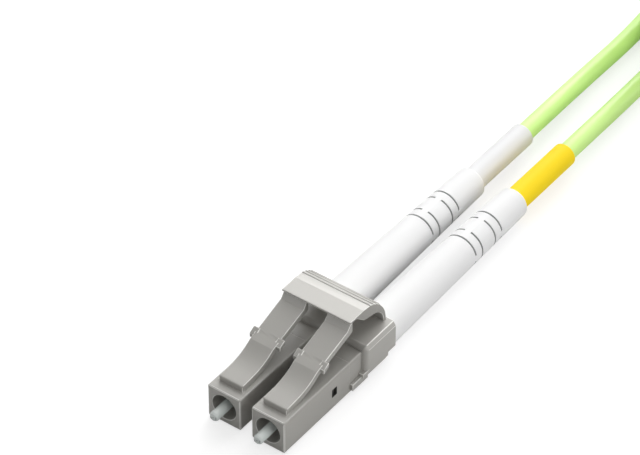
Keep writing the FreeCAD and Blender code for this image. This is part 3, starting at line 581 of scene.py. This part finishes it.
# what a geometry nodes group makes of a starting shape and its inputs, as a piece of its own
def growPiece(name, start, group, values):
    holder = addObject(name + "Start", start)
    grow = holder.modifiers.new("grow", "NODES")
    grow.node_group = group
    for item in group.interface.items_tree:
        if item.in_out == "INPUT" and item.name in values:
            grow[item.identifier] = values[item.name]
    mesh = bakedMesh(holder)
    bpy.data.objects.remove(holder)
    return addObject(name, mesh)


# a group's frame: its named inputs, and an output that ends in realized instances with one finish
def startGrowth(name, sizes, takesShape):
    group = bpy.data.node_groups.new(name, "GeometryNodeTree")
    if takesShape:
        group.interface.new_socket("Shape", in_out="INPUT", socket_type="NodeSocketGeometry")
    for label, value in sizes.items():
        group.interface.new_socket(label, in_out="INPUT", socket_type="NodeSocketFloat").default_value = value
    group.interface.new_socket("Finish", in_out="INPUT", socket_type="NodeSocketMaterial")
    group.interface.new_socket("Shape", in_out="OUTPUT", socket_type="NodeSocketGeometry")
    given, made = group.nodes.new("NodeGroupInput"), group.nodes.new("NodeGroupOutput")
    smooth = group.nodes.new("GeometryNodeSetShadeSmooth")
    real = group.nodes.new("GeometryNodeRealizeInstances")
    painted = group.nodes.new("GeometryNodeSetMaterial")
    group.links.new(real.outputs[0], smooth.inputs[0])
    group.links.new(smooth.outputs[0], painted.inputs["Geometry"])
    group.links.new(given.outputs["Finish"], painted.inputs["Material"])
    group.links.new(painted.outputs[0], made.inputs[0])
    return group, given, real


# sizes and stations in millimetres, and the share of a spring's length that is left when it is pressed
springs = {
    "turns": 6.0, "radius": 0.855, "wire": 0.24, "front": 6.0, "seat": 10.4, "pressedShare": 0.795,
    "turnSteps": 24, "wireSides": 8,
}
coilSizes = {
    "Turns": springs["turns"],
    "Radius": springs["radius"] * mm,
    "Length": (springs["seat"] - springs["front"] - springs["wire"]) * mm,
    "Wire": springs["wire"] / 2 * mm,
}


def makeCoil():
    group, given, real = startGrowth("coil", coilSizes, False)
    nodes, links = group.nodes, group.links
    line = nodes.new("GeometryNodeCurveSpiral")
    line.inputs["Resolution"].default_value = springs["turnSteps"]
    for label in ("Start Radius", "End Radius"):
        links.new(given.outputs["Radius"], line.inputs[label])
    links.new(given.outputs["Turns"], line.inputs["Rotations"])
    links.new(given.outputs["Length"], line.inputs["Height"])
    section = nodes.new("GeometryNodeCurvePrimitiveCircle")
    section.inputs["Resolution"].default_value = springs["wireSides"]
    links.new(given.outputs["Wire"], section.inputs["Radius"])
    wound = nodes.new("GeometryNodeCurveToMesh")
    wound.inputs["Fill Caps"].default_value = True
    links.new(line.outputs[0], wound.inputs["Curve"])
    links.new(section.outputs[0], wound.inputs["Profile Curve"])
    links.new(wound.outputs[0], real.inputs[0])
    return group


# a spring between the flange and its seat
def buildSpring(side, sign, coil):
    values = {**coilSizes, "Finish": finishes["springSteel"]}
    spring = growPiece(f"spring_{side}Coil", bpy.data.meshes.new("coilStart"), coil, values)
    place = Matrix.Translation((halfPitch * sign, behind(springs["front"] + springs["wire"] / 2), axisHeight))
    spring.data.transform(place @ Matrix.Rotation(-math.pi / 2, 4, "X"))
    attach(spring, "connector")
    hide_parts(f"spring_{side}")
    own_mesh(spring)


coil = makeCoil()
for side, sign in sides.items():
    buildSpring(side, sign, coil)
print("springs wound")

# the cords' facts, the stations of their route and the racetrack that they are wound on, in millimetres; the
# racetrack's point step and the turn that its rise takes are in degrees
cordFacts = {
    "diameter": 2.4, "length": 1000.0, "jacketStart": 30.5, "exitAt": 49.3, "floorRest": 1.2, "tieThick": 0.4,
    "droopStart": 60.0, "touchDown": 75.0, "layEnd": 87.0,
}
hank = {"x": 4.7, "y": 97.5, "run": 48.0, "inner": 7.2, "pointStep": 30, "riseFrom": 114.0, "riseTurn": 75}
cords = {
    "left": {"lay": (-4.15, -3.95), "column": hank["inner"] + cordFacts["diameter"], "turns": 5.97},
    "right": {"lay": (2.25, 2.0), "column": hank["inner"], "turns": 6.48},
}


# the height of a cord's middle in a layer of the hank, whose lowest layer lies on the tie
def layerHeight(layer):
    return cordFacts["floorRest"] + cordFacts["tieThick"] + layer * cordFacts["diameter"]


# racetrack turns: up the left run, round the far fold, back, and up a layer over the near fold
def hankPoints(cord):
    column = cord["column"]
    step = math.radians(hank["pointStep"])
    radius = column / math.cos(step / 2)  # control points stand outside the curve that they make
    near, far = hank["y"], hank["y"] + hank["run"]
    count = round(math.pi / step)
    riseStart = hank["riseFrom"]
    riseLength = riseStart - near + math.radians(hank["riseTurn"]) * column
    points = []
    for layer in range(math.ceil(cord["turns"])):
        level = layerHeight(layer)
        lap = [(hank["x"] - column, near, level)]
        for angle in (step * k for k in range(count + 1)):
            lap.append((hank["x"] - radius * math.cos(angle), far + radius * math.sin(angle), level))
        lap.append((hank["x"] + column, riseStart, level))
        for angle in (step * k for k in range(count)):
            climbed = min((riseStart - near + angle * column) / riseLength, 1)
            height = level + cordFacts["diameter"] * climbed
            lap.append((hank["x"] + radius * math.cos(angle), near - radius * math.sin(angle), height))
        points += lap[: round(len(lap) * min(cord["turns"] - layer, 1))]
    return points


# the route from the jacket's start to the hank, then the turns of the racetrack, in millimetres
def cordPoints(sign, cord):
    high = axisHeight / mm
    x = halfPitch / mm * sign
    points = [
        (x, cordFacts["jacketStart"], high),
        (x, cordFacts["droopStart"], high),
        (cord["lay"][0], cordFacts["touchDown"], cordFacts["floorRest"]),
        (cord["lay"][1], cordFacts["layEnd"], cordFacts["floorRest"]),
    ]
    return points + hankPoints(cord)


# radii and lengths in millimetres; a strand has one of a few splays, in degrees, and one of a few lengths, as
# shares of the yarn's
cordEnd = {
    "fibre": 0.45, "fibreSides": 18, "stub": 5.0, "inside": 1.0,
    "strands": 14, "strand": 0.11, "strandSides": 6, "ring": 0.72, "sunk": 0.2,
    "yarn": 3.2, "reaches": 5, "leastReach": 0.8, "reachStep": 0.07,
    "splays": 3, "leastSplay": 4, "splayStep": 9,
}


# a rod along Z in its own place, with so many sides and a radius at each end
def addRod(shape, place, segments, radii, depth):
    start, end = (radius * mm for radius in radii)
    bmesh.ops.create_cone(
        shape, cap_ends=True, segments=segments, radius1=start, radius2=end, depth=depth, matrix=place,
    )


# the bare end of a cord: the buffered fibre, and cut yarn splayed round it
def buildCordEnd(side, tip, heading):
    out = Matrix.Translation(tip) @ heading.to_track_quat("Z", "Y").to_matrix().to_4x4()
    shape = bmesh.new()
    long = (cordEnd["stub"] + cordEnd["inside"]) * mm
    shift = Matrix.Translation((0, 0, long / 2 - cordEnd["inside"] * mm))
    addRod(shape, out @ shift, cordEnd["fibreSides"], (cordEnd["fibre"], cordEnd["fibre"]), long)
    for face in shape.faces:
        face.smooth = len(face.verts) == 4
    fibreFaces = len(shape.faces)
    root = Matrix.Translation((cordEnd["ring"] * mm, 0, -cordEnd["sunk"] * mm))
    splays, reaches = cordEnd["splays"], cordEnd["reaches"]
    for k in range(cordEnd["strands"]):
        spin = Matrix.Rotation(2 * math.pi * k / cordEnd["strands"], 4, "Z")
        degrees = cordEnd["leastSplay"] + cordEnd["splayStep"] * (k * reaches % splays)
        splay = Matrix.Rotation(math.radians(degrees), 4, "Y")
        reach = cordEnd["yarn"] * (cordEnd["leastReach"] + cordEnd["reachStep"] * (k * splays % reaches)) * mm
        place = out @ spin @ root @ splay @ Matrix.Translation((0, 0, reach / 2))
        addRod(shape, place, cordEnd["strandSides"], (cordEnd["strand"], cordEnd["strand"] / 2), reach)
    shape.faces.ensure_lookup_table()
    for face in shape.faces[fibreFaces:]:
        face.material_index = 1
    mesh = bpy.data.meshes.new(f"cordEnd_{side}")
    shape.to_mesh(mesh)
    shape.free()
    for name in ("fibreBuffer", "aramidYarn"):
        mesh.materials.append(finishes[name])
    end = addObject(f"cordEnd_{side}", mesh)
    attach(end, "connector")
    return end


jacketCurve = {"order": 3, "steps": 6, "roundSteps": 6}


# a cord's jacket as a tube along its route, with its bare end
def buildCord(side, sign, cord):
    points = cordPoints(sign, cord)
    curve = bpy.data.curves.new(f"cordJacket_{side}", "CURVE")
    curve.dimensions = "3D"
    line = curve.splines.new("NURBS")
    line.points.add(len(points) - 1)
    for spot, (x, y, z) in zip(line.points, points):
        spot.co = (x * mm, behind(y), z * mm, 1)
    line.order_u = jacketCurve["order"]
    line.use_endpoint_u = True
    line.resolution_u = jacketCurve["steps"]
    curve.materials.append(finishes["limeJacket"])
    jacket = addObject(f"cordJacket_{side}", curve)
    route = bakedMesh(jacket)
    tip, before = (route.vertices[-k].co.copy() for k in (1, 2))
    bareEnd = buildCordEnd(side, tip, tip - before)
    curve.bevel_depth = cordFacts["diameter"] / 2 * mm
    curve.bevel_resolution = jacketCurve["roundSteps"]
    curve.use_fill_caps = True
    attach(jacket, "connector")
    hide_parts(f"cord_{side}", f"hank_{side}")


for side, sign in sides.items():
    buildCord(side, sign, cords[side])
print("cords laid")

# the hank's tie: a woven strap drawn round both columns, its free end lapped over the left side; lengths in
# millimetres, and the lap's ends in degrees
tie = {
    "station": 121.5, "width": 6.0, "rib": 0.12, "spacing": 0.21, "selvage": 0.16, "lift": 0.13,
    "lapFrom": 150, "lapTo": 262, "lapLift": 0.34, "cornerSteps": 4, "ribSides": 6, "selvageSides": 8,
}
strapSizes = {label.capitalize(): tie[label] * mm for label in ("width", "rib", "spacing", "selvage")}


# the strap's line round the cords' outer turns, as (angle from +x, x, z) in degrees and millimetres
def tieLine(lift):
    radius = cordFacts["diameter"] / 2 + lift
    low = layerHeight(0)
    wide, narrow = cords["left"]["column"], cords["right"]["column"]
    outerTop, top = (layerHeight(math.ceil(cords[side]["turns"]) - 1) for side in ("left", "right"))
    corners = [  # each corner's centre, and the angles that its round runs between
        (wide, low, -90, 0), (wide, outerTop, 0, 45), (narrow, top, 45, 90),
        (-narrow, top, 90, 135), (-wide, outerTop, 135, 180), (-wide, low, 180, 270),
    ]
    line = []
    for x, z, first, last in corners:
        for k in range(tie["cornerSteps"] + 1):
            angle = first + (last - first) * k / tie["cornerSteps"]
            turned = math.radians(angle)
            line.append((angle, hank["x"] + x + radius * math.cos(turned), z + radius * math.sin(turned)))
    return line


# a strap along a line: ribs across it, and a bead along both of its edges
def makeStrap():
    group, given, real = startGrowth("strap", strapSizes, True)
    nodes, links = group.nodes, group.links
    spread = nodes.new("GeometryNodeResampleCurve")
    spread.mode = "LENGTH"
    links.new(given.outputs["Shape"], spread.inputs["Curve"])
    links.new(given.outputs["Spacing"], spread.inputs["Length"])
    rib = nodes.new("GeometryNodeMeshCylinder")
    rib.inputs["Vertices"].default_value = tie["ribSides"]
    links.new(given.outputs["Rib"], rib.inputs["Radius"])
    links.new(given.outputs["Width"], rib.inputs["Depth"])
    laid = nodes.new("GeometryNodeTransform")
    laid.inputs["Rotation"].default_value = (math.pi / 2, 0, 0)
    links.new(rib.outputs["Mesh"], laid.inputs["Geometry"])
    ribs = nodes.new("GeometryNodeInstanceOnPoints")
    links.new(spread.outputs[0], ribs.inputs["Points"])
    links.new(laid.outputs[0], ribs.inputs["Instance"])
    join = nodes.new("GeometryNodeJoinGeometry")
    links.new(ribs.outputs[0], join.inputs[0])
    bead = nodes.new("GeometryNodeCurvePrimitiveCircle")
    bead.inputs["Resolution"].default_value = tie["selvageSides"]
    links.new(given.outputs["Selvage"], bead.inputs["Radius"])
    for share in (-0.5, 0.5):
        aside = addMath(nodes, "MULTIPLY", second=share)
        links.new(given.outputs["Width"], aside.inputs[0])
        place = nodes.new("ShaderNodeCombineXYZ")
        links.new(aside.outputs[0], place.inputs["Y"])
        moved = nodes.new("GeometryNodeTransform")
        links.new(given.outputs["Shape"], moved.inputs["Geometry"])
        links.new(place.outputs[0], moved.inputs["Translation"])
        edge = nodes.new("GeometryNodeCurveToMesh")
        links.new(moved.outputs[0], edge.inputs["Curve"])
        links.new(bead.outputs[0], edge.inputs["Profile Curve"])
        links.new(edge.outputs[0], join.inputs[0])
    links.new(join.outputs[0], real.inputs[0])
    return group


# one stretch of the tie, whose closed loop stands for the solid
def buildStrap(name, strap, line, closed):
    curve = bpy.data.curves.new(name + "Line", "CURVE")
    curve.dimensions = "3D"
    path = curve.splines.new("POLY")
    path.points.add(len(line) - 1)
    for spot, (angle, x, z) in zip(path.points, line):
        spot.co = (x * mm, behind(tie["station"]), z * mm, 1)
    path.use_cyclic_u = closed
    piece = growPiece(name, curve, strap, {**strapSizes, "Finish": finishes["tieFabric"]})
    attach(piece, "connector")
    if closed:
        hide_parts("hank_tie")


strap = makeStrap()
lapped = [spot for spot in tieLine(tie["lapLift"]) if tie["lapFrom"] <= spot[0] <= tie["lapTo"]]
buildStrap("hankTieLoop", strap, tieLine(tie["lift"]), closed=True)
buildStrap("hankTieLap", strap, lapped, closed=False)
print("hank tied")
